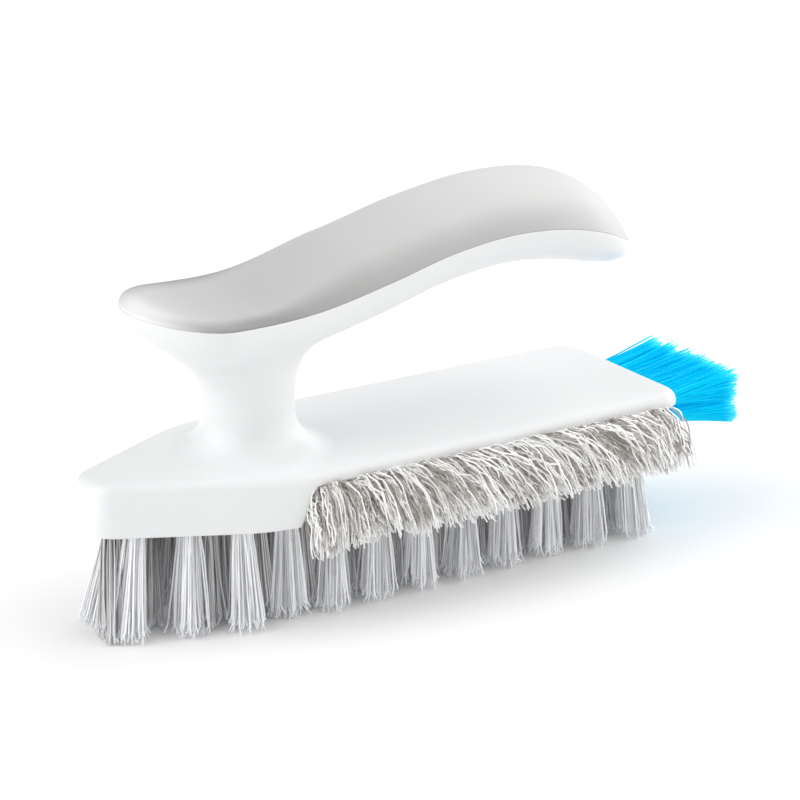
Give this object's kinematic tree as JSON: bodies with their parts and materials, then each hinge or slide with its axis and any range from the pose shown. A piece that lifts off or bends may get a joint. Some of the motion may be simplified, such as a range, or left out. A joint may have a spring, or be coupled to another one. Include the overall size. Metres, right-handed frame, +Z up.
{
  "type": "grout brush",
  "caption": "Hand-held grout scrubbing brush: pointed base with a palm handle on one neck, stiff sole bristles, a soft side fringe and a fan of fine tail bristles.",
  "frame": {"origin": "middle of the length and width of the whole brush, on the plane that the sole bristles stand on", "axes": "+X from the nose to the tail fan, +Y across, +Z up through the base and the handle"},
  "size_m": [0.1904, 0.0706, 0.1034],
  "materials": {
    "white_plastic": "smooth moulded white plastic with a satin gloss",
    "grey_bristle": "stiff light grey filament",
    "beige_bristle": "soft crimped off-white filament",
    "blue_bristle": "fine bright blue filament",
    "anchor_wire": "flat drawn wire"
  },
  "bodies": {
    "root": {"body": "white_plastic", "handle_cover": "white_plastic", "brush_block": "white_plastic", "sole_row_centre": "grey_bristle", "sole_row_left_inner": "grey_bristle", "sole_row_left_middle": "grey_bristle", "sole_row_left_outer": "grey_bristle", "sole_row_right_inner": "grey_bristle", "sole_row_right_middle": "grey_bristle", "sole_row_right_outer": "grey_bristle", "fringe_left_upper": "beige_bristle", "fringe_left_lower": "beige_bristle", "fringe_right_upper": "beige_bristle", "fringe_right_lower": "beige_bristle", "tail_fan_upper": "blue_bristle", "tail_fan_lower": "blue_bristle", "sole_anchors": "anchor_wire", "fringe_anchors_left": "anchor_wire", "fringe_anchors_right": "anchor_wire", "fan_anchors": "anchor_wire"}
  },
  "joints": []
}
